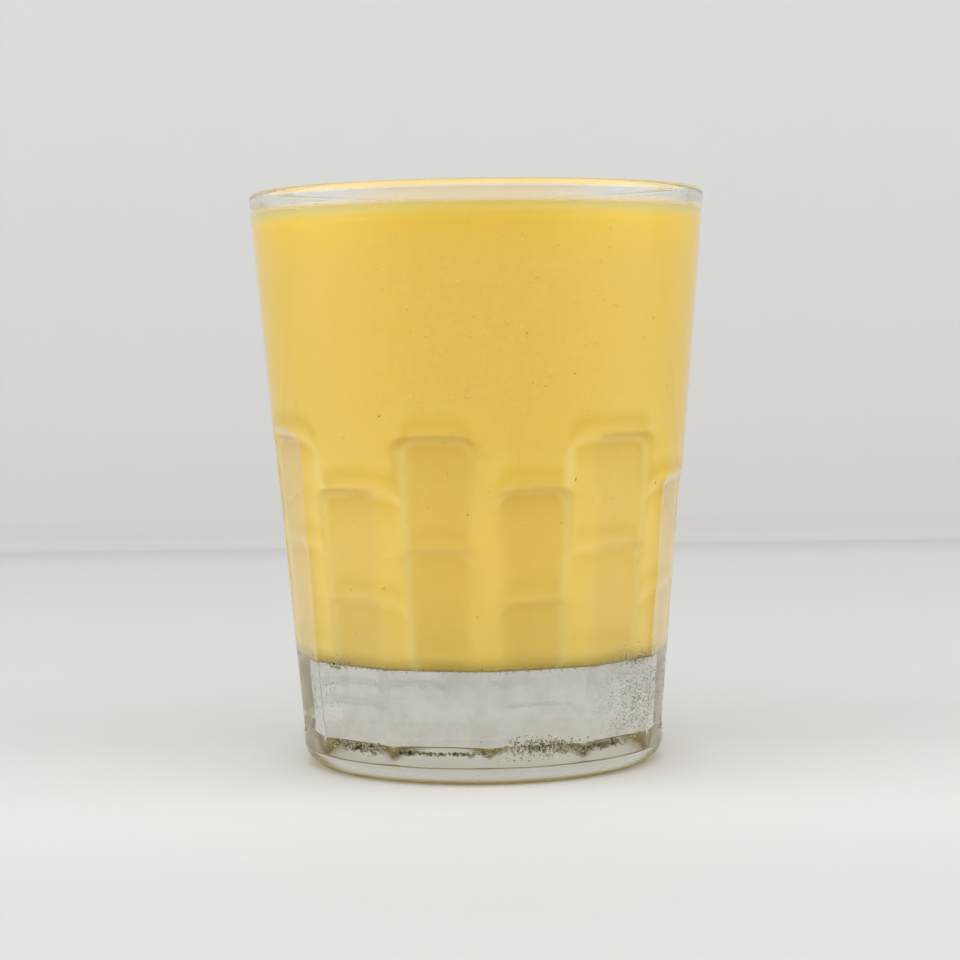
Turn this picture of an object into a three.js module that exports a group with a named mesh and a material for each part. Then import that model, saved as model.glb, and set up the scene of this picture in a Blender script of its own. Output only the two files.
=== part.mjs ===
// Mango lassi in a pressed glass tumbler: a round tapering wall above twelve columns of nearly
// flat bricks, a thick clear base, and the drink filled almost to the rim.
// Millimetres, +Z up, origin at the centre of the underside.
import * as THREE from 'three';

// Outer form of the glass
const HEIGHT = 105.4;                // table to the crest of the rim
const RIM_RADIUS = 42.1;             // the wall's outer cone, at the crest's height
const TABLE_RADIUS = 33.17;          // the same cone, carried down to the table
const BEARING_RADIUS = 29.2;         // outer edge of the ring that touches the table
const CORNER_HEIGHT = 4.0;           // the foot's rounded corner
const HOLLOW_RADIUS = 24.0;          // the underside is hollowed inside this radius
const HOLLOW_DEPTH = 0.8;
const HOLLOW_SLOPE = 4.0;            // width of its sloping edge

// Inner form of the glass
const RIM_WALL = 2.4;                // wall thickness at the rim
const FLOOR_WALL = 4.2;              // wall thickness at the inner floor, at a ridge
const FLOOR_HEIGHT = 20.0;           // top of the thick clear base
const FLOOR_CORNER = 3.5;            // radius where the inner wall meets the floor

// Bricks pressed into the lower wall, staggered from column to column. A ledge's height is given
// at its rounded ends.
const COLUMNS = 12;
const FIRST_RIDGE = 1.7 - 30;        // degrees: left side of the first tall column
const TALL_LEDGES = [60.1, 40.6, 21.6];
const SHORT_LEDGES = [50.9, 31.4, 12.4];
const FOOT_TOP = 5.6;                // the bricks end here, above a round foot
const LEDGE_FILLET = 0.6;            // half the height that a ledge takes up
const LEDGE_ARCH = 1.8;              // a ledge is this much higher between its rounded ends
const FLATNESS = 0.8;                // 1 makes the bricks flat from ridge to ridge, 0 leaves them round
const NOTCH = 0.15;                  // step inwards at the top ledge, at a ridge; none at the foot
const LEAN = 0.4;                    // a brick's top lies deeper than its foot by this much
const LEAN_AT_RIDGE = 0.25;          // share of the lean that is left at a ridge

// The drink
const DRINK_GAP = 0.3;               // clearance between the drink and the glass
const DRINK_LEVEL = 100.7;           // flat surface of the drink
const MENISCUS_RISE = 0.9;           // the drink climbs the wall by this much
const MENISCUS_SPREAD = 1.5;

// Mesh density
const STEPS_IN_COLUMN = 6;
const AROUND = COLUMNS * STEPS_IN_COLUMN;
const CORNER_STEPS = 4;
const RIM_STEPS = 6;
const WALL_ROWS = [74, 89];          // rows of vertices on the plain wall above the bricks
const INNER_ROW = 60;                // one more halfway down the inner wall
const MENISCUS_ROWS = [0, 0.6, 1.4, 2.6, 4.5];

const COLUMN_ANGLE = 2 * Math.PI / COLUMNS;
const HALF_COLUMN = COLUMN_ANGLE / 2;
const TAPER = (RIM_RADIUS - TABLE_RADIUS) / HEIGHT;

const point = (radius, z) => new THREE.Vector2(radius, z);
const clamp01 = (value) => Math.min(1, Math.max(0, value));

function coneRadius(z) {
  return TABLE_RADIUS + TAPER * z;
}

function innerRadius(z) {
  const down = (HEIGHT - z) / (HEIGHT - FLOOR_HEIGHT);
  return coneRadius(z) - RIM_WALL - (FLOOR_WALL - RIM_WALL) * down;
}

// Arc of an ellipse from one angle to another, both ends included.
function arc(centre, across, up, from, to, steps) {
  return Array.from({ length: steps + 1 }, (_, i) => {
    const angle = from + (to - from) * i / steps;
    return point(centre.x + across * Math.cos(angle), centre.y + up * Math.sin(angle));
  });
}

// Which column an azimuth is in, and how far across it, from -1 at one ridge to 1 at the next.
function placeInColumn(azimuth) {
  const turns = (azimuth - THREE.MathUtils.degToRad(FIRST_RIDGE)) / COLUMN_ANGLE;
  const column = Math.floor(turns + 1e-6);
  const across = 2 * (turns - column) - 1;
  return { tall: THREE.MathUtils.euclideanModulo(column, 2) === 0, across };
}

// A ledge is level in its middle and drops towards its ends.
function archLift(across) {
  return LEDGE_ARCH * (1 - across ** 6);
}

// How far the outer surface lies inside the round cone. Under a column's top ledge the wall is
// nearly flat from ridge to ridge, and each brick leans, so that its top is deeper than its foot.
function recess(azimuth, z) {
  const { tall, across } = placeInColumn(azimuth);
  const ledges = tall ? TALL_LEDGES : SHORT_LEDGES;
  const level = z - archLift(across);
  const below = clamp01((ledges[0] + LEDGE_FILLET - level) / (2 * LEDGE_FILLET));
  const aboveFoot = clamp01((z - FOOT_TOP + LEDGE_FILLET) / (2 * LEDGE_FILLET));
  const chord = coneRadius(z) * (1 - Math.cos(HALF_COLUMN) / Math.cos(across * HALF_COLUMN));

  const brick = Math.max(0, ledges.filter((ledge) => level < ledge).length - 1);
  const top = ledges[brick] - LEDGE_FILLET;
  const foot = (ledges[brick + 1] ?? FOOT_TOP) + LEDGE_FILLET;
  const shareAcross = 1 - (1 - LEAN_AT_RIDGE) * across ** 4;
  const lean = LEAN * shareAcross * clamp01((level - foot) / (top - foot));
  const notch = NOTCH * clamp01((level - FOOT_TOP) / (ledges[0] - FOOT_TOP));
  return below * aboveFoot * (FLATNESS * chord + notch + lean);
}

// The lathe's profile of the outer wall from the foot up: pairs of rows frame every ledge.
function outerWallRows() {
  const rows = [{ z: FOOT_TOP - LEDGE_FILLET }, { z: FOOT_TOP + LEDGE_FILLET }];
  for (const [tall, ledges] of [[true, TALL_LEDGES], [false, SHORT_LEDGES]]) {
    for (const ledge of ledges) {
      rows.push({ z: ledge - LEDGE_FILLET, tall }, { z: ledge + LEDGE_FILLET, tall });
    }
  }
  rows.push(...WALL_ROWS.map((z) => ({ z })));
  return rows.sort((a, b) => a.z - b.z);
}

// A lathe stands on the Y axis: it is turned so that its axis is +Z and azimuth 0 faces -Y.
function turned(profile) {
  const ridge = THREE.MathUtils.degToRad(FIRST_RIDGE);
  return new THREE.LatheGeometry(profile, AROUND, ridge).rotateX(Math.PI / 2);
}

function glassGeometry() {
  const cornerRadius = coneRadius(CORNER_HEIGHT);
  const underside = [
    point(0, HOLLOW_DEPTH),
    point(HOLLOW_RADIUS - HOLLOW_SLOPE, HOLLOW_DEPTH),
    point(HOLLOW_RADIUS, 0),
  ];
  const corner = arc(point(BEARING_RADIUS, CORNER_HEIGHT), cornerRadius - BEARING_RADIUS,
    CORNER_HEIGHT, -Math.PI / 2, 0, CORNER_STEPS);
  const rows = outerWallRows();
  const wall = rows.map(({ z }) => point(coneRadius(z), z));

  const bead = RIM_WALL / 2;
  const rimCentre = point(coneRadius(HEIGHT - bead) - bead, HEIGHT - bead);
  const rim = arc(rimCentre, bead, bead, 0, Math.PI, RIM_STEPS);

  const cornerTop = FLOOR_HEIGHT + FLOOR_CORNER;
  const floorCorner = arc(point(innerRadius(cornerTop) - FLOOR_CORNER, cornerTop),
    FLOOR_CORNER, FLOOR_CORNER, 0, -Math.PI / 2, CORNER_STEPS);
  const inside = [point(innerRadius(INNER_ROW), INNER_ROW), ...floorCorner, point(0, FLOOR_HEIGHT)];

  const profile = [...underside, ...corner, ...wall, ...rim, ...inside];
  const geometry = turned(profile);
  pressBricks(geometry, profile.length, underside.length + corner.length, rows);
  return geometry;
}

// Moves the wall's rows of vertices in by the recess, and up where a ledge is arched.
function pressBricks(geometry, profileLength, firstRow, rows) {
  const position = geometry.attributes.position;
  for (let i = 0; i < position.count; i += 1) {
    const row = rows[(i % profileLength) - firstRow];
    if (row === undefined) continue;
    const azimuth = Math.atan2(position.getX(i), -position.getY(i));
    const { tall, across } = placeInColumn(azimuth);
    const z = row.z + (row.tall === tall ? archLift(across) : 0);
    const radius = coneRadius(z) - recess(azimuth, z);
    position.setXYZ(i, radius * Math.sin(azimuth), -radius * Math.cos(azimuth), z);
  }
}

function lassiGeometry() {
  const bottom = FLOOR_HEIGHT + DRINK_GAP;
  const cornerTop = FLOOR_HEIGHT + FLOOR_CORNER;
  const wallRadius = (z) => innerRadius(z) - DRINK_GAP;
  const cornerSize = FLOOR_CORNER - DRINK_GAP;
  const corner = arc(point(wallRadius(cornerTop) - cornerSize, cornerTop),
    cornerSize, cornerSize, -Math.PI / 2, 0, CORNER_STEPS);

  const contact = DRINK_LEVEL + MENISCUS_RISE;
  const edge = wallRadius(contact);
  const meniscus = MENISCUS_ROWS.map((inwards) =>
    point(edge - inwards, DRINK_LEVEL + MENISCUS_RISE * Math.exp(-inwards / MENISCUS_SPREAD)));

  return turned([
    point(0, bottom),
    ...corner,
    point(wallRadius(INNER_ROW), INNER_ROW),
    ...meniscus,
    point(0, DRINK_LEVEL),
  ]);
}

const glass = new THREE.Mesh(glassGeometry(), new THREE.MeshStandardMaterial({
  color: 0xdfe3df, roughness: 0.03, metalness: 0, transparent: true, opacity: 0.35,
}));
glass.name = 'glass';

const lassi = new THREE.Mesh(lassiGeometry(), new THREE.MeshStandardMaterial({
  color: 0xe4c06a, roughness: 0.35, metalness: 0,
}));
lassi.name = 'lassi';

const drink = new THREE.Group();
drink.add(glass, lassi);

export default drink;
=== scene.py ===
"""Looks of a mango lassi in a pressed glass tumbler.

The glass is one closed lathe surface whose lower outer wall is pressed into staggered flat bricks.
The drink fills it and reaches just into the wall. Condensation sits on the outside as clear drops.
Lengths are metres; millimetres are written as numbers times MM. Azimuth 0 faces the camera and
grows to the right. A brick is as wide as its column, and two columns meet at a ridge.
"""
import math

import bpy
import numpy as np
from mathutils import Matrix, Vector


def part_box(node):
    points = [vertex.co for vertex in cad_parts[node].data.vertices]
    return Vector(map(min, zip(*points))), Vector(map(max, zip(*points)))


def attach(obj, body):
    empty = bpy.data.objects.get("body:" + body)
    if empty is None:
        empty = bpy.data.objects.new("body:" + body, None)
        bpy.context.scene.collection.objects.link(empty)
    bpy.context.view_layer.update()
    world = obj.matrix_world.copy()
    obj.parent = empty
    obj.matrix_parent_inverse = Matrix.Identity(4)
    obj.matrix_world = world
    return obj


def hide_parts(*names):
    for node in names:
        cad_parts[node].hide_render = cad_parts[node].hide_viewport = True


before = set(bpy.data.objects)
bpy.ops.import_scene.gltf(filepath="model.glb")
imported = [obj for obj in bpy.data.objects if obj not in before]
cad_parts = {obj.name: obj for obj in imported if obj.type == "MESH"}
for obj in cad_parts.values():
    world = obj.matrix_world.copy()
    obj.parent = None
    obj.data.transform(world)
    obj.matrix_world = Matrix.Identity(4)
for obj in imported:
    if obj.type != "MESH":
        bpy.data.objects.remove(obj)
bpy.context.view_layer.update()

MM = 0.001
FULL_TURN = 2 * math.pi
QUARTER_TURN = math.pi / 2

# The glass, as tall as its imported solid
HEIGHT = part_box("glass")[1].z
RIM_RADIUS = 42.1 * MM
TABLE_RADIUS = 33.17 * MM
TAPER = (RIM_RADIUS - TABLE_RADIUS) / HEIGHT
BEARING_RADIUS = 29.2 * MM
CORNER_HEIGHT = 4.0 * MM
HOLLOW_RADIUS = 24.0 * MM
HOLLOW_FLAT_RADIUS = HOLLOW_RADIUS / 2
HOLLOW_DEPTH = 0.8 * MM
RIM_WALL = 2.4 * MM
FLOOR_WALL = 4.2 * MM
FLOOR_CORNER = 3.5 * MM

# The foot's corner ends where its slope is the wall's.
CORNER_END = -math.atan(TAPER)
WALL_START = CORNER_HEIGHT * (1 + math.sin(CORNER_END))

# The drink, whose box gives the floor of the glass and the height where the drink meets the wall
LASSI_LOW, LASSI_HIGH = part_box("lassi")
DRINK_GAP = 0.3 * MM
FLOOR_HEIGHT = LASSI_LOW.z - DRINK_GAP
CONTACT_HEIGHT = LASSI_HIGH.z
MENISCUS_RISE = 0.9 * MM
MENISCUS_SPREAD = 1.5 * MM
DRINK_LEVEL = CONTACT_HEIGHT - MENISCUS_RISE
BITE_INTO_WALL = 0.12 * MM

# The bricks, whose ledges' heights are given at their rounded ends
COLUMNS = 12
COLUMN_ANGLE = FULL_TURN / COLUMNS
HALF_COLUMN = COLUMN_ANGLE / 2
FIRST_RIDGE = math.radians(1.7 - 30)
TALL_LEDGES = np.array([60.1, 40.6, 21.6]) * MM
SHORT_LEDGES = np.array([50.9, 31.4, 12.4]) * MM
FOOT_TOP = 5.6 * MM
FOOT_FILLET = 0.9 * MM
TOP_LIP = 2.6 * MM
INNER_LIP = 1.8 * MM
LEDGE_ARCH = 1.8 * MM
ARCH_SHARPNESS = 6
FLATNESS = 0.8
NOTCH = 0.15 * MM
FOOT_NOTCH = 0.18 * MM
FOOT_NOTCH_SHARPNESS = 4
LEAN = 0.4 * MM
LEAN_AT_RIDGE = 0.25
LEAN_SHARPNESS = 4
LOWEST_LEAN = 0.22
RIDGE_ROUNDING = 0.11 * MM
ROUND_OFF = 1e-9

# Mesh density of the glass
STEPS_IN_COLUMN = 38
AROUND = COLUMNS * STEPS_IN_COLUMN
RIDGE_CROWDING = 0.5
FINE_ROW = 0.35 * MM
COARSE_ROW = 3.0 * MM
HOLLOW_ROWS = 14
BEARING_ROWS = 4
CORNER_ROWS = 14
RIM_ROWS = 14
INNER_ROWS = 14
FLOOR_CORNER_ROWS = 10
FLOOR_ROWS = 4


def cone_radius(z):
    """Radius of the plain outer cone: the table radius plus the taper times the height."""
    return TABLE_RADIUS + TAPER * z


def inner_radius(z):
    """The outer cone less a wall that thickens in a straight line from the rim to the floor."""
    down = (HEIGHT - z) / (HEIGHT - FLOOR_HEIGHT)
    return cone_radius(z) - RIM_WALL - (FLOOR_WALL - RIM_WALL) * down


def smooth_step(low, high, value):
    """0 below low, 1 above high, and 3t^2 - 2t^3 between them."""
    t = np.clip((value - low) / (high - low), 0, 1)
    return t * t * (3 - 2 * t)


def brick_recess(tall, across, z):
    """How far one column of bricks lies inside the cone, and how much of it is pressed, 0 to 1.

    across is -1 and 1 at the column's ridges and may run past them. Under the top ledge the wall
    lies in by FLATNESS times the depth of the chord from ridge to ridge, plus a notch that fades
    downwards and comes back at the foot, plus a lean that is largest at a brick's top and nothing
    at its foot, and smaller in the lowest brick. A ledge's lip is a smooth step.
    """
    inside = np.clip(np.abs(across), 0, 1)
    level = z - LEDGE_ARCH * (1 - inside ** ARCH_SHARPNESS)
    ledges = np.where(tall[..., None], TALL_LEDGES, SHORT_LEDGES)
    top, second, third = (ledges[..., i] for i in range(3))

    pressed = 1 - smooth_step(top - TOP_LIP / 2, top + TOP_LIP / 2, level)
    pressed = pressed * smooth_step(FOOT_TOP - FOOT_FILLET, FOOT_TOP + FOOT_FILLET, z)
    chord_depth = cone_radius(z) * (1 - math.cos(HALF_COLUMN) / np.cos(across * HALF_COLUMN))
    down = np.clip((top - level) / (top - FOOT_TOP), 0, 1)
    notch = NOTCH * (1 - down) + FOOT_NOTCH * down ** FOOT_NOTCH_SHARPNESS

    foot = np.full_like(third, FOOT_TOP)
    lean = np.clip((level - second) / (top - second), 0, 1)
    for upper, lower, share in ((second, third, 1), (third, foot, LOWEST_LEAN)):
        under = 1 - smooth_step(upper - INNER_LIP / 2, upper + INNER_LIP / 2, level)
        in_brick = np.clip((level - lower) / (upper - lower), 0, 1)
        lean = lean * (1 - under) + under * share * in_brick
    lean = LEAN * (1 - (1 - LEAN_AT_RIDGE) * inside ** LEAN_SHARPNESS) * lean
    return pressed * (FLATNESS * chord_depth + notch + lean), pressed


def recess(azimuth, z):
    """How far the wall lies inside its cone, for arrays of azimuth and height.

    It is the smooth maximum (a + b + sqrt((a - b)^2 + s^2)) / 2 of the recess a of the point's own
    column and the recess b of the nearer neighbour carried on past the ridge, which rounds the
    ridge between them. The rounding s fades out where neither column is pressed.
    """
    turns = (azimuth - FIRST_RIDGE) / COLUMN_ANGLE
    column = np.floor(turns + ROUND_OFF)
    across = 2 * (turns - column) - 1
    tall = column % 2 == 0
    own, own_pressed = brick_recess(tall, across, z)
    beyond = np.where(across > 0, across - 2, across + 2)
    other, other_pressed = brick_recess(~tall, beyond, z)
    rounding = RIDGE_ROUNDING * np.maximum(own_pressed, other_pressed)
    return 0.5 * (own + other + np.sqrt((own - other) ** 2 + rounding ** 2))


def on_circle(radius, azimuth, height):
    """Points (radius sin azimuth, -radius cos azimuth, height), as an array with x, y and z last."""
    return np.stack([radius * np.sin(azimuth), -radius * np.cos(azimuth), height], axis=-1)


def arc(centre, across, up, start, end, steps):
    """Points (centre + across cos angle, centre + up sin angle) from start to end, both included."""
    angle = np.linspace(start, end, steps + 1)
    return np.stack([centre[0] + across * np.cos(angle), centre[1] + up * np.sin(angle)], axis=1)


def line(start, end, steps):
    """Points (1 - t) start + t end, with t even from 0 and the end itself left out."""
    t = np.linspace(0, 1, steps, endpoint=False)[:, None]
    return (1 - t) * np.array(start) + t * np.array(end)


def mesh_piece(name, points, face_sets):
    """A linked, smooth mesh object from an array of points and arrays of faces."""
    mesh = bpy.data.meshes.new(name)
    faces = [face for faces in face_sets for face in faces.tolist()]
    mesh.from_pydata(points.tolist(), [], faces)
    mesh.polygons.foreach_set("use_smooth", np.full(len(mesh.polygons), True))
    mesh.update()
    piece = bpy.data.objects.new(name, mesh)
    bpy.context.scene.collection.objects.link(piece)
    return piece


def lathe_mesh(name, radius, height, azimuth):
    """A closed mesh from rows of radius and height, one column of numbers for each azimuth.

    Row 0 and the last row lie on the axis and become single points; faces look outwards when
    the rows run from the underside up the outside.
    """
    around = radius.shape[1]
    rings = on_circle(radius, azimuth, height)[1:-1]
    poles = np.array([[0, 0, height[0].mean()], [0, 0, height[-1].mean()]])
    points = np.concatenate([rings.reshape(-1, 3), poles])
    count = rings.shape[0]

    ring, step = np.meshgrid(np.arange(count - 1), np.arange(around), indexing="ij")
    after = (step + 1) % around
    corners = [ring * around + step, ring * around + after,
               (ring + 1) * around + after, (ring + 1) * around + step]
    quads = np.stack(corners, axis=-1).reshape(-1, 4)

    step = np.arange(around)
    after = (step + 1) % around
    last = (count - 1) * around
    bottom = np.stack([after, step, np.full(around, count * around)], axis=-1)
    top = np.stack([last + step, last + after, np.full(around, count * around + 1)], axis=-1)
    return mesh_piece(name, points, [quads, bottom, top])


def azimuth_steps():
    """Angles around the glass, closer together at the ridges than in the middle of a facet.

    Across a column they are c sin(90 degrees times e) + (1 - c) e, with e even from -1 to 1.
    """
    even = np.linspace(-1, 1, STEPS_IN_COLUMN, endpoint=False)
    across = (1 - RIDGE_CROWDING) * even + RIDGE_CROWDING * np.sin(QUARTER_TURN * even)
    column = np.arange(COLUMNS)[:, None] + (across[None, :] + 1) / 2
    return column.ravel() * COLUMN_ANGLE + FIRST_RIDGE


def wall_heights():
    """Heights of the outer wall's rows: close together at the ledges, further apart between."""
    ledges = np.sort(np.concatenate([TALL_LEDGES, SHORT_LEDGES]))
    heights = [WALL_START]
    stop = HEIGHT - RIM_WALL / 2
    while heights[-1] < stop:
        z = heights[-1]
        near_ledge = np.any((z > ledges - TOP_LIP) & (z < ledges + LEDGE_ARCH + TOP_LIP))
        near_foot = abs(z - FOOT_TOP) < FOOT_FILLET + FINE_ROW
        step = FINE_ROW if near_ledge or near_foot else COARSE_ROW
        heights.append(min(z + step, stop))
    return np.array(heights)


def glass_piece():
    """The tumbler: underside, rounded foot, pressed wall, rim, inner wall and inner floor.

    Each is a stretch of one profile: straight lines, quarter and half turns, and a smooth step for
    the hollow. The wall's radius is the cone's less its recess.
    """
    hollow = line((0, 0), (HOLLOW_RADIUS, 0), HOLLOW_ROWS)
    slope = smooth_step(HOLLOW_FLAT_RADIUS, HOLLOW_RADIUS, hollow[:, 0])
    hollow[:, 1] = HOLLOW_DEPTH * (1 - slope)
    bearing = line((HOLLOW_RADIUS, 0), (BEARING_RADIUS, 0), BEARING_ROWS)
    corner_width = (cone_radius(WALL_START) - BEARING_RADIUS) / math.cos(CORNER_END)
    corner = arc((BEARING_RADIUS, CORNER_HEIGHT), corner_width, CORNER_HEIGHT,
                 -QUARTER_TURN, CORNER_END, CORNER_ROWS)[:-1]

    heights = wall_heights()
    azimuth = azimuth_steps()
    wall_z = np.repeat(heights[:, None], AROUND, axis=1)
    wall_azimuth = np.repeat(azimuth[None, :], len(heights), axis=0)
    wall_radius = cone_radius(wall_z) - recess(wall_azimuth, wall_z)

    bead = RIM_WALL / 2
    bead_height = HEIGHT - bead
    rim = arc((cone_radius(bead_height) - bead, bead_height), bead, bead, 0, math.pi, RIM_ROWS)[1:]
    corner_top = FLOOR_HEIGHT + FLOOR_CORNER
    inner_heights = np.linspace(bead_height, corner_top, INNER_ROWS)[1:-1]
    inner_wall = np.stack([inner_radius(inner_heights), inner_heights], axis=1)
    floor_corner = arc((inner_radius(corner_top) - FLOOR_CORNER, corner_top),
                       FLOOR_CORNER, FLOOR_CORNER, 0, -QUARTER_TURN, FLOOR_CORNER_ROWS)
    floor = line(floor_corner[-1], (0, FLOOR_HEIGHT), FLOOR_ROWS)[1:]

    before = np.concatenate([hollow, bearing, corner])
    after = np.concatenate([rim, inner_wall, floor_corner, floor, [[0, FLOOR_HEIGHT]]])
    ring = np.ones((1, AROUND))
    radius = np.concatenate([before[:, :1] * ring, wall_radius, after[:, :1] * ring])
    height = np.concatenate([before[:, 1:] * ring, wall_z, after[:, 1:] * ring])
    return lathe_mesh("glass_tumbler", radius, height, azimuth)


# Light that gathers on the drink behind the pressed wall
RIDGE_SHIFT = math.radians(5.6)
LAMP_LEAN = 1.6
SPLIT_SHARE = 0.7
RIDGE_GLOW = 0.5
FAINTEST_RIDGE = 0.25
RIDGE_SIDE_GAIN = 2
RIDGE_GLOW_WIDTH = math.radians(1.7)
RIDGE_FADE = 2.0 * MM
LEDGE_SHIFT = 0.9 * MM
LEDGE_GLOW = 0.8
LEDGE_GLOW_WIDTH = 0.75 * MM
LEDGE_STRENGTHS = (1.0, 0.55, 0.3)
LEDGE_DROOP = 1.3
DROOP_SHARPNESS = 5
LEDGE_ENDS = (0.9, 1.15)
BAND_ABOVE = 3.0 * MM
BAND_WIDTH = 1.5 * MM
SHADE_EDGE = 1.5 * MM
SHADE_HOLD = 1.2 * MM
SHADE_FADE = 2.4 * MM
GLOW_HIDES_SHADE = 2
RIDGE_LIFT = 0.3
RIDGE_GLOW_TOP = TALL_LEDGES[0] + RIDGE_LIFT * LEDGE_ARCH - LEDGE_SHIFT

# Waves in the ledges' lines: height, number round the glass and start
WOBBLES = ((0.25 * MM, 5, 0.7), (0.15 * MM, 17, 0.0))


def signed_angle(azimuth, other):
    """The angle from the other azimuth to this one, between minus and plus half a turn."""
    return (azimuth - other + math.pi) % FULL_TURN - math.pi


def bell(distance, width):
    """1 where the distance is 0, falling as exp(-(distance / width)^2)."""
    return np.exp(-(distance / width) ** 2)


def shifted_ridge(ridge, side):
    """Azimuth on the drink where light through a ridge lands, seen from the column on one side.

    A lamp on the left or right throws it towards the front or the back, by the sign of the sine
    of twice the azimuth. At the front and the back both lamps reach the ridge, and the light
    splits: side is -1 for the column before the ridge and 1 for the one after it.
    """
    lean = np.clip(-LAMP_LEAN * np.sin(2 * ridge), -1, 1)
    split = side * (1 - np.abs(lean)) * np.cos(ridge) ** 2
    return ridge + RIDGE_SHIFT * (lean + SPLIT_SHARE * split)


def gathered_light(azimuth, z):
    """Glow and shade, 0 to 1, on the drink's side, for arrays of azimuth and height.

    Light from the sides and from above passes the wall and lands a little beyond each ridge and
    ledge. Each ledge gives a bright line, a dark band above it, both bells across their height, and
    a shade under it that fades downwards; each ridge gives a bright upright line, a bell across its
    azimuth, from the taller of its two ledges to the floor.
    """
    glow = np.zeros_like(z)
    shade = np.zeros_like(z)
    wobble = sum(size * np.sin(waves * azimuth + start) for size, waves, start in WOBBLES)
    for column in range(COLUMNS):
        ledges = TALL_LEDGES if column % 2 == 0 else SHORT_LEDGES
        left = FIRST_RIDGE + column * COLUMN_ANGLE
        start = shifted_ridge(left, 1)
        end = shifted_ridge(left + COLUMN_ANGLE, -1)
        across = signed_angle(azimuth, (start + end) / 2) / ((end - start) / 2)
        inside = np.clip(np.abs(across), 0, 1)
        within = 1 - smooth_step(*LEDGE_ENDS, np.abs(across))
        arch = LEDGE_ARCH * (1 - LEDGE_DROOP * inside ** DROOP_SHARPNESS)
        for ledge, strength in zip(ledges, LEDGE_STRENGTHS):
            above = z - (ledge + arch - LEDGE_SHIFT + wobble)
            shape = within * strength
            glow += LEDGE_GLOW * shape * bell(above, LEDGE_GLOW_WIDTH)
            shade += shape * bell(above - BAND_ABOVE, BAND_WIDTH)
            fading = np.exp(np.minimum(above + SHADE_HOLD, 0) / SHADE_FADE)
            shade += shape * smooth_step(0, SHADE_EDGE, -above) * fading

        strength = RIDGE_GLOW * max(FAINTEST_RIDGE, min(1.0, RIDGE_SIDE_GAIN * abs(math.sin(left))))
        upright = 1 - smooth_step(RIDGE_GLOW_TOP - RIDGE_FADE, RIDGE_GLOW_TOP, z)
        for side in (-1, 1):
            from_line = signed_angle(azimuth, shifted_ridge(left, side))
            glow += strength * upright * bell(from_line, RIDGE_GLOW_WIDTH)
    shade = shade * np.exp(-GLOW_HIDES_SHADE * glow)
    return np.clip(glow, 0, 1), np.clip(shade, 0, 1)


# Mesh density of the drink
LASSI_AROUND = 480
LASSI_FINE_ROW = 0.45 * MM
LASSI_FLOOR_ROWS = 6
LASSI_CORNER_ROWS = 14
LASSI_PLAIN_ROWS = 12
MENISCUS_REACH = 6 * MM
MENISCUS_ROWS = 22
SURFACE_START = 1.5 * MENISCUS_REACH
SURFACE_END = 6 * MENISCUS_REACH
SURFACE_ROWS = 8
BRICKS_END = TALL_LEDGES[0] + LEDGE_ARCH + BAND_ABOVE + 2 * BAND_WIDTH


def drink_radius(z):
    """Radius of the drink's side: the inner wall's, and a little way into the glass."""
    return inner_radius(z) + BITE_INTO_WALL


def lassi_piece():
    """The drink: floor, rounded corner, side and surface, up to a meniscus that creeps up the wall.

    Its surface lies at the level plus the rise times exp(-d / spread), d from the wall inwards.
    """
    azimuth = np.arange(LASSI_AROUND) * FULL_TURN / LASSI_AROUND
    bottom = FLOOR_HEIGHT - BITE_INTO_WALL
    corner_top = FLOOR_HEIGHT + FLOOR_CORNER
    corner_size = FLOOR_CORNER + BITE_INTO_WALL
    corner = arc((drink_radius(corner_top) - corner_size, corner_top), corner_size, corner_size,
                 -QUARTER_TURN, 0, LASSI_CORNER_ROWS)
    floor = line((0, bottom), corner[0], LASSI_FLOOR_ROWS)
    wall_z = np.concatenate([np.arange(corner_top, BRICKS_END, LASSI_FINE_ROW)[1:],
                             np.linspace(BRICKS_END, CONTACT_HEIGHT, LASSI_PLAIN_ROWS)])
    wall = np.stack([drink_radius(wall_z), wall_z], axis=1)
    inwards = np.concatenate([np.linspace(0, MENISCUS_REACH, MENISCUS_ROWS)[1:],
                              np.linspace(SURFACE_START, SURFACE_END, SURFACE_ROWS)])
    surface_z = DRINK_LEVEL + MENISCUS_RISE * np.exp(-inwards / MENISCUS_SPREAD)
    surface = np.stack([drink_radius(CONTACT_HEIGHT) - inwards, surface_z], axis=1)
    profile = np.concatenate([floor, corner, wall, surface, [[0, DRINK_LEVEL]]])
    ring = np.ones((1, LASSI_AROUND))
    piece = lathe_mesh("mango_lassi", profile[:, :1] * ring, profile[:, 1:] * ring, azimuth)

    ring_heights = profile[1:-1, 1:] * ring
    ring_azimuths = np.ones((len(profile) - 2, 1)) * azimuth
    for name, values in zip(("glow", "shade"), gathered_light(ring_azimuths, ring_heights)):
        at_points = np.concatenate([values.ravel(), [0, 0]])
        piece.data.attributes.new(name, "FLOAT", "POINT").data.foreach_set("value", at_points)
    return piece


# The thin cream film that the drink left on the inner wall above its edge
FILM_TOP = CONTACT_HEIGHT + 2.5 * MM
FILM_BOTTOM = CONTACT_HEIGHT - 0.6 * MM
FILM_THICKNESS = 0.12 * MM
FILM_SECTION_STEPS = 24
FILM_AROUND = 240


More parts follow.
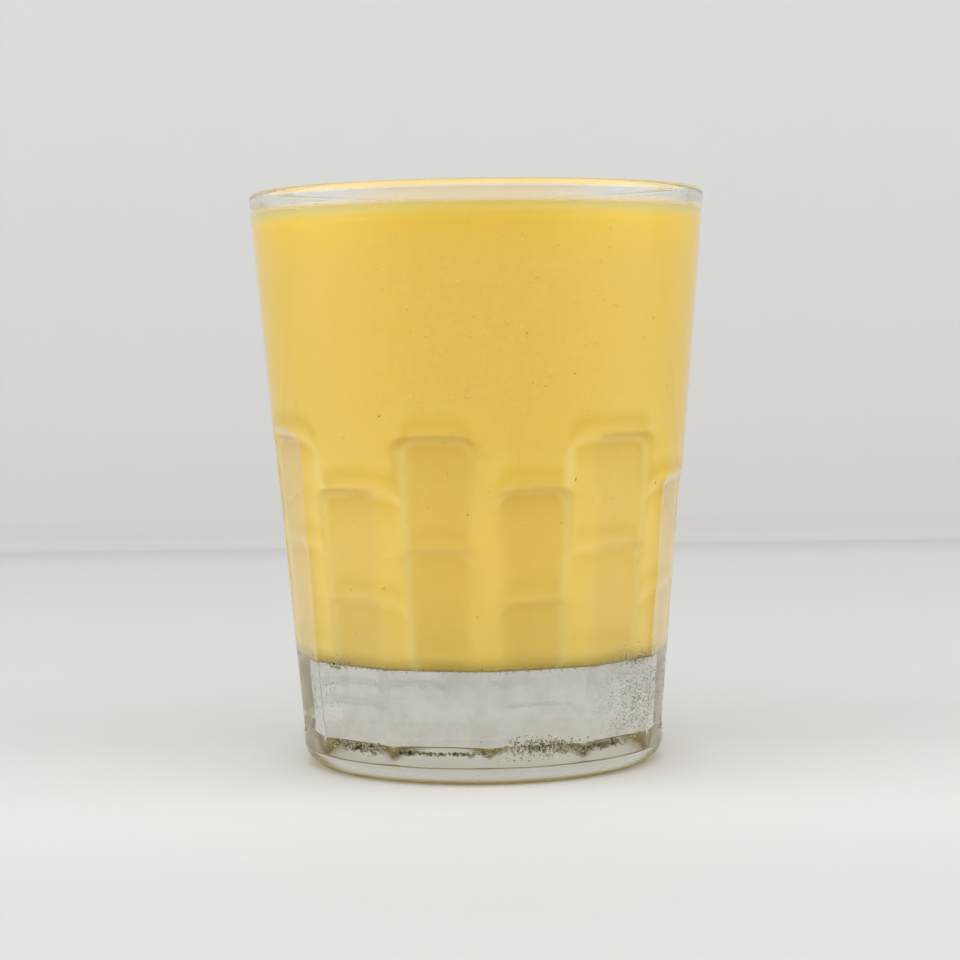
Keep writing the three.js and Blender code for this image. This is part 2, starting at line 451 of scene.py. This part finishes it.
def film_piece():
    """The film: a lens-shaped section, half of it sunk in the wall, carried round the axis.

    Its height is the middle plus half its rise times sin t, and its radius the inner wall's plus
    the thickness times cos t.
    """
    turn = np.linspace(0, FULL_TURN, FILM_SECTION_STEPS, endpoint=False)
    middle = (FILM_TOP + FILM_BOTTOM) / 2
    z = middle + (FILM_TOP - FILM_BOTTOM) / 2 * np.sin(turn)
    radius = inner_radius(z) + FILM_THICKNESS * np.cos(turn)
    azimuth = np.arange(FILM_AROUND) * FULL_TURN / FILM_AROUND
    ring = np.ones((1, FILM_AROUND))
    points = on_circle(radius[:, None] * ring, azimuth, z[:, None] * ring)
    row, step = np.meshgrid(np.arange(FILM_SECTION_STEPS), np.arange(FILM_AROUND), indexing="ij")
    above = (row + 1) % FILM_SECTION_STEPS
    after = (step + 1) % FILM_AROUND
    corners = [row * FILM_AROUND + step, row * FILM_AROUND + after,
               above * FILM_AROUND + after, above * FILM_AROUND + step]
    quads = np.stack(corners, axis=-1).reshape(-1, 4)
    return mesh_piece("cream_film", points.reshape(-1, 3), [quads])


# Small scattered things
DOT_SIDES = 6
DOT_RINGS = 2
DOT_WIDTHS = (0.85, 1.25)
RADIUS_SPREAD = 0.35
NARROW_PATCH = 15
BUNCHING = 0.45
NUDGE = 1e-4
SCATTER_SEED = 11
FOOT_LEDGE = FOOT_TOP + 0.3 * MM

# Patches: middle azimuth and half width in degrees, height, its spread, count and usual radius
CONDENSATION = [
    (-12, 15, FOOT_LEDGE - 0.2 * MM, 0.15 * MM, 160, 0.22 * MM),
    (17, 14, FOOT_LEDGE + 0.6 * MM, 0.8 * MM, 700, 0.13 * MM),
    (-42, 14, FOOT_LEDGE, 0.45 * MM, 240, 0.19 * MM),
    (39, 14, FOOT_LEDGE, 0.35 * MM, 240, 0.17 * MM),
    (108, 26, FOOT_LEDGE, 0.3 * MM, 150, 0.13 * MM),
    (-108, 26, FOOT_LEDGE, 0.3 * MM, 150, 0.13 * MM),
    (54, 14.5, 13.5 * MM, 4.0 * MM, 1900, 0.065 * MM),
    (-54, 6, 15 * MM, 4.0 * MM, 160, 0.065 * MM),
    (67, 10, 13 * MM, 4.5 * MM, 420, 0.07 * MM),
    (-67, 10, 13 * MM, 4.5 * MM, 420, 0.07 * MM),
    (95, 12, 12 * MM, 4.5 * MM, 500, 0.075 * MM),
    (-100, 12, 13 * MM, 4.5 * MM, 400, 0.075 * MM),
    (0, 60, FLOOR_HEIGHT + 0.3 * MM, 0.25 * MM, 420, 0.085 * MM),
    (-50, 8, FLOOR_HEIGHT + 0.7 * MM, 0.5 * MM, 110, 0.12 * MM),
    (54, 10, FLOOR_HEIGHT + 0.5 * MM, 0.6 * MM, 260, 0.08 * MM),
    (66, 12, 103.0 * MM, 0.6 * MM, 320, 0.06 * MM),
    (-69, 10, 102.4 * MM, 0.5 * MM, 200, 0.06 * MM),
    (140, 30, 102.8 * MM, 0.7 * MM, 200, 0.07 * MM),
]
DROP_FLATNESS = 0.8
LOWEST_DROP = CORNER_HEIGHT + 0.3 * MM
HIGHEST_DROP = HEIGHT - RIM_WALL / 2

DARK_SPECKS = [(0, 180, 68 * MM, 20 * MM, 42, 0.14 * MM)]
PULP_SPECKS = [(0, 180, 66 * MM, 20 * MM, 40, 0.2 * MM)]
AIR_BUBBLES = [
    (6, 34, 84 * MM, 9 * MM, 130, 0.24 * MM),
    (0, 180, 64 * MM, 22 * MM, 450, 0.2 * MM),
]
SPECK_FLATNESS = 0.4
BUBBLE_FLATNESS = 0.05
LOWEST_SPECK = FLOOR_HEIGHT + FLOOR_CORNER
HIGHEST_SPECK = CONTACT_HEIGHT - 3 * MM


def dot_places(patches, lowest, highest, rng):
    """Azimuth, height and radius of every dot, drawn for each patch in turn.

    Heights are normally spread and radii log-normally. Dots are even across a wide patch, and
    bunched in the middle of a narrow one.
    """
    azimuths, heights, radii = [], [], []
    for middle, half_width, height, rise, count, size in patches:
        even = rng.uniform(-1, 1, count)
        bunched = rng.normal(0, BUNCHING, count)
        aside = np.where(half_width < NARROW_PATCH, bunched, even)
        azimuths.append(np.radians(middle + half_width * aside))
        heights.append(rng.normal(height, rise, count))
        radii.append(size * np.exp(rng.normal(0, RADIUS_SPREAD, count)))
    azimuth, z, radius = (np.concatenate(part) for part in (azimuths, heights, radii))
    kept = (z > lowest) & (z < highest)
    return azimuth[kept], z[kept], radius[kept]


def outer_wall(azimuth, z):
    """Points on the outside of the glass."""
    return on_circle(cone_radius(z) - recess(azimuth, z), azimuth, z)


def drink_side(azimuth, z):
    """Points on the side of the drink."""
    return on_circle(drink_radius(z), azimuth, z)


def unit(vectors):
    """Vectors of length 1."""
    return vectors / np.linalg.norm(vectors, axis=1, keepdims=True)


def dots_piece(name, surface, places, flatness, rng):
    """Flattened ellipsoids, each half sunk in a surface, squashed along the surface's normal.

    A point is centre + w sin t cos u along + r sin t sin u up + h cos t normal, with t from the top
    of the dot to its foot, u round it, and w, r and h its half width, radius and half depth.
    """
    azimuth, z, size = places
    centre = surface(azimuth, z)
    along = unit(surface(azimuth + NUDGE, z) - surface(azimuth - NUDGE, z))
    up = unit(surface(azimuth, z + NUDGE * MM) - surface(azimuth, z - NUDGE * MM))
    normal = unit(np.cross(along, up))

    t = math.pi * np.arange(1, DOT_RINGS + 1) / (DOT_RINGS + 1)
    u = FULL_TURN * np.arange(DOT_SIDES) / DOT_SIDES
    width = (size * rng.uniform(*DOT_WIDTHS, len(size)))[:, None] * along
    length = size[:, None] * up
    depth = flatness * size[:, None] * normal
    across = np.sin(t)[:, None] * np.cos(u)
    upward = np.sin(t)[:, None] * np.sin(u)
    outward = np.cos(t)[:, None] * np.ones_like(u)
    rings = (centre[:, None, None] + width[:, None, None] * across[None, ..., None]
             + length[:, None, None] * upward[None, ..., None]
             + depth[:, None, None] * outward[None, ..., None])
    ends = np.stack([centre + depth, centre - depth], axis=1)
    each = DOT_RINGS * DOT_SIDES + 2
    points = np.concatenate([rings.reshape(len(size), -1, 3), ends], axis=1).reshape(-1, 3)

    ring, side = np.meshgrid(np.arange(DOT_RINGS - 1), np.arange(DOT_SIDES), indexing="ij")
    after = (side + 1) % DOT_SIDES
    corners = [ring * DOT_SIDES + side, (ring + 1) * DOT_SIDES + side,
               (ring + 1) * DOT_SIDES + after, ring * DOT_SIDES + after]
    quads = np.stack(corners, axis=-1).reshape(-1, 4)
    side = np.arange(DOT_SIDES)
    after = (side + 1) % DOT_SIDES
    last = (DOT_RINGS - 1) * DOT_SIDES
    tops = np.stack([side, after, np.full(DOT_SIDES, each - 2)], axis=-1)
    feet = np.stack([last + after, last + side, np.full(DOT_SIDES, each - 1)], axis=-1)
    start = (each * np.arange(len(size)))[:, None, None]
    face_sets = [(faces[None] + start).reshape(-1, faces.shape[1]) for faces in (quads, tops, feet)]
    return mesh_piece(name, points, face_sets)


# Places of a colour mix's sockets on its node
MIX_FACTOR = 0
MIX_FIRST = 6
MIX_SECOND = 7
MIX_RESULT = 2


class Sock:
    """A socket that takes part in Python sums; each operator adds a Math node."""

    def __init__(self, tree, socket):
        self.tree = tree
        self.socket = socket

    def math(self, operation, first, second=None):
        node = self.tree.nodes.new("ShaderNodeMath")
        node.operation = operation
        for i, value in enumerate((first, second)):
            if isinstance(value, Sock):
                self.tree.links.new(value.socket, node.inputs[i])
            elif value is not None:
                node.inputs[i].default_value = value
        return Sock(self.tree, node.outputs[0])

    def __add__(self, other):
        return self.math("ADD", self, other)

    def __radd__(self, other):
        return self.math("ADD", other, self)

    def __sub__(self, other):
        return self.math("SUBTRACT", self, other)

    def __rsub__(self, other):
        return self.math("SUBTRACT", other, self)

    def __mul__(self, other):
        return self.math("MULTIPLY", self, other)

    def __rmul__(self, other):
        return self.math("MULTIPLY", other, self)

    def __truediv__(self, other):
        return self.math("DIVIDE", self, other)

    def __rtruediv__(self, other):
        return self.math("DIVIDE", other, self)

    def __pow__(self, other):
        return self.math("POWER", self, other)

    def __rpow__(self, other):
        return self.math("POWER", other, self)

    def __gt__(self, other):
        return self.math("GREATER_THAN", self, other)

    def __lt__(self, other):
        return self.math("LESS_THAN", self, other)

    def __abs__(self):
        return self.math("ABSOLUTE", self)

    def at_least(self, other):
        return self.math("MAXIMUM", self, other)


class Finish:
    """A material's or world's nodes: add() makes any node from its type, settings and sockets."""

    def __init__(self, owner):
        self.owner = owner
        owner.use_nodes = True
        self.tree = owner.node_tree
        self.tree.nodes.clear()

    def add(self, kind, settings=None, inputs=None, output=0):
        node = self.tree.nodes.new("ShaderNode" + kind)
        for name, value in (settings or {}).items():
            setattr(node, name, value)
        for name, value in (inputs or {}).items():
            socket = node.inputs[name]
            if isinstance(value, Sock):
                self.tree.links.new(value.socket, socket)
            else:
                socket.default_value = value
        return Sock(self.tree, node.outputs[output]) if node.outputs else node

    def split(self, vector):
        """A vector's x, y and z."""
        parts = self.add("SeparateXYZ", inputs={"Vector": vector}).socket.node.outputs
        return tuple(Sock(self.tree, part) for part in parts)

    def place(self):
        """Object coordinates in metres: the vector, then its x, y and z."""
        vector = self.add("TexCoord", output="Object")
        return vector, *self.split(vector)

    def noise(self, vector, scale, detail, roughness):
        return self.add("TexNoise", inputs={
            "Vector": vector, "Scale": scale, "Detail": detail, "Roughness": roughness})

    def fade(self, value, start, end, interpolation="SMOOTHSTEP"):
        """0 at start and 1 at end, which may lie below start; smooth between them, or LINEAR."""
        return self.add("MapRange", {"interpolation_type": interpolation},
                        {"Value": value, "From Min": start, "From Max": end})

    def mix(self, factor, first, second):
        """From the first colour, where the factor is 0, to the second, where it is 1."""
        colours = {MIX_FACTOR: factor, MIX_FIRST: first, MIX_SECOND: second}
        return self.add("Mix", {"data_type": "RGBA"}, colours, MIX_RESULT)

    def attribute(self, name):
        return self.add("Attribute", {"attribute_name": name}, output="Fac")

    def close(self, shader, volume=None):
        """Joins the shaders to the material's output and hands the material back."""
        outputs = {"Surface": shader}
        if volume is not None:
            outputs["Volume"] = volume
        self.add("OutputMaterial", inputs=outputs)
        return self.owner


def new_finish(name):
    return Finish(bpy.data.materials.new(name))


# Noises are given by scale, detail and roughness, and fades by where they start and where they end.
NOISE_MIDDLE = 0.5

# Clear glass
GLASS_IOR = 1.52
CLEAN_GLASS = (0.99, 0.992, 0.988, 1)
SMUDGED_GLASS = (0.84, 0.843, 0.835, 1)
GLASS_BODY = (0.58, 0.56, 0.41, 1)
GLASS_DENSITY = 10.0
BASE_EDGE = 2 * MM
IN_BASE = (FLOOR_HEIGHT + BASE_EDGE, FLOOR_HEIGHT - BASE_EDGE)
ABOVE_FOOT = (FOOT_TOP, FOOT_TOP + BASE_EDGE)
UNDER_RIM = (99 * MM, 93 * MM)
RIPPLE_NOISE = (420.0, 3.0, 0.6)
RIPPLE_RELIEF = 0.03
WAVINESS_NOISE = (70.0, 1.0, 0.5)
WAVINESS_RELIEF = 0.05
RELIEF_HEIGHT = 1.0 * MM
SMUDGE_NOISE = (190.0, 4.0, 0.65)
SMUDGE_FADE = (0.42, 0.66)
WORN_FOOT = (5.0 * MM, 1.2 * MM)
WORN_ROUGHNESS = 0.3


def clear_glass_finish():
    """Clear soda-lime glass, a little grey where it is thick.

    The base is faintly rippled and smudged by the damp outside, the wall waves a little below the
    rim, and wear has dulled the foot.
    """
    finish = new_finish("clear_glass")
    vector, _, _, z = finish.place()
    in_base = finish.fade(z, *IN_BASE)
    above_foot = finish.fade(z, *ABOVE_FOOT)
    ripple = finish.noise(vector, *RIPPLE_NOISE) * in_base * above_foot
    waviness = finish.noise(vector, *WAVINESS_NOISE) * finish.fade(z, *UNDER_RIM)
    relief = ripple * RIPPLE_RELIEF + waviness * WAVINESS_RELIEF
    smudge = finish.fade(finish.noise(vector, *SMUDGE_NOISE), *SMUDGE_FADE)
    shell = finish.add("BsdfPrincipled", inputs={
        "Base Color": finish.mix(smudge * in_base * above_foot, CLEAN_GLASS, SMUDGED_GLASS),
        "Roughness": WORN_ROUGHNESS * finish.fade(z, *WORN_FOOT),
        "IOR": GLASS_IOR,
        "Transmission Weight": 1.0,
        "Normal": finish.add("Bump", inputs={
            "Height": relief, "Strength": 1.0, "Distance": RELIEF_HEIGHT}),
    })
    body = finish.add("VolumeAbsorption", inputs={"Color": GLASS_BODY, "Density": GLASS_DENSITY})
    return finish.close(shell, body)


# Condensation and specks
WATER_IOR = 1.33
WATER_COLOUR = (0.74, 0.73, 0.60, 1)
DARK_SPECK_COLOUR = (0.50, 0.36, 0.05, 1)
PULP_COLOUR = (0.88, 0.62, 0.02, 1)
BUBBLE_COLOUR = (0.96, 0.78, 0.21, 1)
SPECK_ROUGHNESS = 0.6


def water_finish():
    """Clear water drops."""
    finish = new_finish("water_drops")
    return finish.close(finish.add("BsdfPrincipled", inputs={
        "Base Color": WATER_COLOUR, "Roughness": 0.0, "IOR": WATER_IOR, "Transmission Weight": 1.0}))


def speck_finish(name, colour):
    """Specks of one colour in the drink's skin, without a gloss of their own."""
    finish = new_finish(name)
    return finish.close(finish.add("BsdfPrincipled", inputs={
        "Base Color": colour, "Roughness": SPECK_ROUGHNESS, "Specular IOR Level": 0.0}))


# The cream film
DRINK_IOR = 1.38
FILM_COLOUR = (0.94, 0.78, 0.42, 1)
FILM_ROUGHNESS = 0.5
FILM_REACH = 1.4 * MM
FILM_FADE = (0.9, -0.1)
FILM_COVER = 0.8
SMEAR_NOISE = (90.0, 3.0, 0.5)
SMEAR_UNEVENNESS = 0.5
IN_FRONT = (-31 * MM, -39.6 * MM)
FRONT_COVER = 0.4
THINNEST_COVER = 0.03


def film_finish():
    """Cream-coloured smear that thins out upwards, unevenly, and stays thicker in front."""
    finish = new_finish("cream_film")
    vector, _, y, z = finish.place()
    smear = SMEAR_UNEVENNESS * (finish.noise(vector, *SMEAR_NOISE) - NOISE_MIDDLE)
    height = (z - CONTACT_HEIGHT) / FILM_REACH
    cover = FILM_COVER * finish.fade(height + smear, *FILM_FADE)
    in_front = FRONT_COVER * finish.fade(y, *IN_FRONT)
    return finish.close(finish.add("BsdfPrincipled", inputs={
        "Base Color": FILM_COLOUR, "Roughness": FILM_ROUGHNESS, "IOR": DRINK_IOR,
        "Alpha": cover.at_least(in_front).at_least(THINNEST_COVER)}))


# The drink's finish, with colours in pairs from its middle to its sides, apart from the clouds' pair;
# the sides' colours are paler, painted side light
CLOUD_NOISE = (45.0, 3.0, 0.5)
CLOUD_COLOURS = ((0.905, 0.683, 0.088, 1), (0.92, 0.708, 0.107, 1))
MOTTLE_NOISE = (680.0, 1.5, 0.5)
MOTTLE_FADE = (0.52, 0.68)
MOTTLE_SHARE = 0.3
MOTTLE_COLOUR = (0.95, 0.77, 0.19, 1)
# Painted light: the drink is paler towards its sides, where the side lamps fall.
LIT_SIDES = (6 * MM, 28 * MM)
SIDE_LIGHT_SHARE = 0.8
SIDE_LIGHT_COLOUR = (0.945, 0.738, 0.135, 1)
COLLAR = (CONTACT_HEIGHT - 11 * MM, CONTACT_HEIGHT - 2.5 * MM)
COLLAR_COLOURS = ((0.93, 0.665, 0.045, 1), (0.99, 0.735, 0.085, 1))
# Painted light: the drink is paler just under its edge, lifting the shade there.
LIT_EDGE = (CONTACT_HEIGHT - 2.2 * MM, CONTACT_HEIGHT - 0.3 * MM)
LIT_EDGE_COLOURS = ((0.99, 0.79, 0.17, 1), (0.99, 0.87, 0.33, 1))
FROM_WALL = (0.1 * MM, 2.0 * MM)
SURFACE_SKIN = 0.3 * MM
TOP_COLOUR = (0.83, 0.61, 0.19, 1)
LOW_PART = (66 * MM, 42 * MM)
LOW_COLOURS = ((0.93, 0.70, 0.118, 1), (0.96, 0.745, 0.185, 1))
WANDER_NOISE = (350.0, 3.0, 0.5)
FLOOR_EDGE_WANDER = 0.9 * MM
FLOOR_EDGE = (FLOOR_HEIGHT + 0.5 * MM, FLOOR_HEIGHT + 0.05 * MM)
NEAR_CORNER = (24 * MM, 26.5 * MM)
FLOOR_EDGE_SHARE = 0.75
FLOOR_EDGE_COLOUR = (0.40, 0.31, 0.05, 1)
SHADE_COLOUR = (0.855, 0.632, 0.052, 1)
GLOW_COLOUR = (0.955, 0.79, 0.23, 1)
SATIN = 0.35


def lassi_finish():
    """Opaque yellow yoghurt drink with a satin skin.

    Faint clouds and mottles, sides painted paler as side light, a richer collar under an edge painted
    paler as light, a plain top, a paler lower part and a dark line where it meets the floor; then the
    gathered light over them.
    """
    finish = new_finish("mango_lassi")
    vector, x, y, z = finish.place()
    colour = finish.mix(finish.noise(vector, *CLOUD_NOISE), *CLOUD_COLOURS)
    mottle = finish.fade(finish.noise(vector, *MOTTLE_NOISE), *MOTTLE_FADE)
    colour = finish.mix(MOTTLE_SHARE * mottle, colour, MOTTLE_COLOUR)
    # Painted light: paler towards the sides, here and in each colour pair below.
    side_lit = finish.fade(abs(x), *LIT_SIDES)
    colour = finish.mix(SIDE_LIGHT_SHARE * side_lit, colour, SIDE_LIGHT_COLOUR)

    colour = finish.mix(finish.fade(z, *COLLAR), colour, finish.mix(side_lit, *COLLAR_COLOURS))
    # Painted light: paler just under the drink's edge.
    colour = finish.mix(finish.fade(z, *LIT_EDGE), colour, finish.mix(side_lit, *LIT_EDGE_COLOURS))
    from_axis = (x * x + y * y) ** 0.5
    inside = finish.fade(inner_radius(CONTACT_HEIGHT) - from_axis, *FROM_WALL)
    on_top = z > DRINK_LEVEL - SURFACE_SKIN
    colour = finish.mix(inside * on_top, colour, TOP_COLOUR)

    colour = finish.mix(finish.fade(z, *LOW_PART), colour, finish.mix(side_lit, *LOW_COLOURS))
    wander = FLOOR_EDGE_WANDER * (finish.noise(vector, *WANDER_NOISE) - NOISE_MIDDLE)
    at_floor = finish.fade(z - wander, *FLOOR_EDGE)
    near_corner = finish.fade(from_axis, *NEAR_CORNER)
    colour = finish.mix(FLOOR_EDGE_SHARE * at_floor * near_corner, colour, FLOOR_EDGE_COLOUR)

    colour = finish.mix(finish.attribute("shade"), colour, SHADE_COLOUR)
    colour = finish.mix(finish.attribute("glow"), colour, GLOW_COLOUR)
    return finish.close(finish.add("BsdfPrincipled", inputs={
        "Base Color": colour, "Roughness": SATIN, "IOR": DRINK_IOR}))


# The stage, whose floor is palest where the glass stands and darker towards the wall, as painted light
# and painted shade
FLOOR_DROP = 0.05 * MM
FLOOR_FRONT = -2.4
FLOOR_BACK = 0.485
FLOOR_JOINTS = (-0.5, 0.2)
SWEEP_RADIUS = 0.01
SWEEP_STEPS = 24
WALL_JOINT = 0.5
BACKDROP_TOP = 1.6
STAGE_HALF_WIDTH = 2.4
STAGE_COLUMNS = 9

FLOOR_COLOUR = (0.612, 0.611, 0.607, 1)
# Painted light: the floor around the glass is paler, over the glass's shadow.
LIT_FLOOR_COLOUR = (0.675, 0.679, 0.684, 1)
# Painted shade: a darker floor towards the wall, in the corner and at the wall's foot.
SHADED_BACK_FLOOR_COLOUR = (0.57, 0.57, 0.565, 1)
CORNER_SHADE_COLOUR = (0.512, 0.509, 0.502, 1)
WALL_FOOT_SHADE_COLOUR = (0.615, 0.612, 0.603, 1)
WALL_COLOUR = (0.66, 0.66, 0.652, 1)
FAR_FLOOR = (0.0, 0.47)
BEFORE_GLASS = (-0.13, -0.05)
BEHIND_GLASS = (0.06, -0.01)
NEAR_WALL = (0.42, 0.478)
ON_WALL = (0.004, 0.0115)
UP_WALL = (0.0, 0.2)
SWEEP_ROUGHNESS = 0.7
SWEEP_SPECULAR = 0.2


def sweep_piece():
    """Floor and backdrop as one sheet: flat, a quarter turn, then upright.

    The turn is y = back - r + r sin t and z = r (1 - cos t).
    """
    turn = np.linspace(0, QUARTER_TURN, SWEEP_STEPS)
    y = np.concatenate([[FLOOR_FRONT, *FLOOR_JOINTS],
                        FLOOR_BACK - SWEEP_RADIUS + SWEEP_RADIUS * np.sin(turn),
                        [FLOOR_BACK, FLOOR_BACK]])
    z = np.concatenate([[0, 0, 0], SWEEP_RADIUS * (1 - np.cos(turn)), [WALL_JOINT, BACKDROP_TOP]])
    z = z - FLOOR_DROP
    x = np.linspace(-STAGE_HALF_WIDTH, STAGE_HALF_WIDTH, STAGE_COLUMNS)
    grid = np.stack(np.broadcast_arrays(x[None, :], y[:, None], z[:, None]), axis=-1)
    rows, columns = grid.shape[:2]
    i, j = np.meshgrid(np.arange(rows - 1), np.arange(columns - 1), indexing="ij")
    corners = [i * columns + j, i * columns + j + 1,
               (i + 1) * columns + j + 1, (i + 1) * columns + j]
    quads = np.stack(corners, axis=-1).reshape(-1, 4)
    return mesh_piece("sweep", grid.reshape(-1, 3), [quads])


def sweep_finish():
    """Pale matt paint, with painted light around the glass and painted shade towards the wall, in its
    corner and at the wall's foot.
    """
    finish = new_finish("pale_sweep")
    _, _, y, z = finish.place()
    # Painted shade: the floor darkens towards the wall.
    floor = finish.mix(finish.fade(y, *FAR_FLOOR), FLOOR_COLOUR, SHADED_BACK_FLOOR_COLOUR)
    # Painted light around the glass.
    lit_near_glass = finish.fade(y, *BEFORE_GLASS) * finish.fade(y, *BEHIND_GLASS)
    floor = finish.mix(lit_near_glass, floor, LIT_FLOOR_COLOUR)
    # Painted shade in the corner by the wall.
    floor = finish.mix(finish.fade(y, *NEAR_WALL), floor, CORNER_SHADE_COLOUR)
    # Painted shade at the wall's foot, fading up the wall.
    wall = finish.mix(finish.fade(z, *UP_WALL, "LINEAR"), WALL_FOOT_SHADE_COLOUR, WALL_COLOUR)
    return finish.close(finish.add("BsdfPrincipled", inputs={
        "Base Color": finish.mix(finish.fade(z, *ON_WALL), floor, wall),
        "Roughness": SWEEP_ROUGHNESS,
        "Specular IOR Level": SWEEP_SPECULAR}))


# The light: a soft glow, stronger from the sides, with a broad lamp on each side and one high in front
LIGHT_COLOUR = (1.0, 0.997, 0.99, 1)
AMBIENT = 0.74
SIDE_GLOW = 0.65
LEFT_BIAS = 0.06
SIDE_LAMP = 1.3
SIDE_ELEVATION = math.radians(30)
SIDE_SHARPNESS = 6
TOP_LAMP = 1.3
TOP_ELEVATION = math.radians(45)
TOP_SHARPNESS = 10


def studio_world():
    """Soft light: a glow that grows with the square of x and is a little stronger on the left.

    Each lamp adds a lobe, the cosine of the angle to it to the power of its sharpness.
    """
    world = bpy.data.worlds.new("studio")
    bpy.context.scene.world = world
    sky = Finish(world)
    x, y, z = sky.split(sky.add("TexCoord", output="Generated"))
    towards_side = abs(x) * math.cos(SIDE_ELEVATION) + z * math.sin(SIDE_ELEVATION)
    towards_top = z * math.sin(TOP_ELEVATION) - y * math.cos(TOP_ELEVATION)
    strength = (AMBIENT + SIDE_GLOW * x * x - LEFT_BIAS * x
                + SIDE_LAMP * towards_side.at_least(0.0) ** SIDE_SHARPNESS
                + TOP_LAMP * towards_top.at_least(0.0) ** TOP_SHARPNESS)
    background = sky.add("Background", inputs={"Color": LIGHT_COLOUR, "Strength": strength})
    sky.add("OutputWorld", inputs={"Surface": background})


# The camera stands in front of the glass, a little below its rim, tipped down and slightly rolled.
CAMERA_DISTANCE = 0.4683
CAMERA_HEIGHT = 0.07816
CAMERA_PITCH = math.radians(3.215)
CAMERA_ROLL = -0.0143
FOCAL_PIXELS = 2511.85
FRAME_PIXELS = 960
SENSOR = 36.0
NEAR_CLIP = 0.01


def photo_camera():
    camera = bpy.data.cameras.new("camera")
    camera.sensor_width = SENSOR
    camera.lens = SENSOR * FOCAL_PIXELS / FRAME_PIXELS
    camera.clip_start = NEAR_CLIP
    stand = bpy.data.objects.new("camera", camera)
    tilt = Matrix.Rotation(QUARTER_TURN - CAMERA_PITCH, 4, "X") @ Matrix.Rotation(CAMERA_ROLL, 4, "Z")
    stand.matrix_world = Matrix.Translation((0, -CAMERA_DISTANCE, CAMERA_HEIGHT)) @ tilt
    bpy.context.scene.collection.objects.link(stand)
    bpy.context.scene.camera = stand


glass = glass_piece()
glass.data.materials.append(clear_glass_finish())
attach(glass, "root")
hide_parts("glass")

lassi = lassi_piece()
lassi.data.materials.append(lassi_finish())
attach(lassi, "root")
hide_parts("lassi")

film = film_piece()
film.data.materials.append(film_finish())
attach(film, "root")

rng = np.random.default_rng(SCATTER_SEED)
drop_places = dot_places(CONDENSATION, LOWEST_DROP, HIGHEST_DROP, rng)
drops = dots_piece("condensation_drops", outer_wall, drop_places, DROP_FLATNESS, rng)
drops.data.materials.append(water_finish())
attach(drops, "root")

for name, patches, flatness, colour in (
        ("dark_specks", DARK_SPECKS, SPECK_FLATNESS, DARK_SPECK_COLOUR),
        ("pulp_specks", PULP_SPECKS, SPECK_FLATNESS, PULP_COLOUR),
        ("air_bubbles", AIR_BUBBLES, BUBBLE_FLATNESS, BUBBLE_COLOUR)):
    speck_places = dot_places(patches, LOWEST_SPECK, HIGHEST_SPECK, rng)
    specks = dots_piece(name, drink_side, speck_places, flatness, rng)
    specks.data.materials.append(speck_finish(name, colour))
    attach(specks, "root")

sweep = sweep_piece()
sweep.data.materials.append(sweep_finish())

studio_world()
photo_camera()
bpy.context.scene.view_settings.view_transform = "Standard"
# Glass stays sharp in soft reflected light, which lets the walls cast their bright lines.
bpy.context.scene.cycles.blur_glossy = 0.0
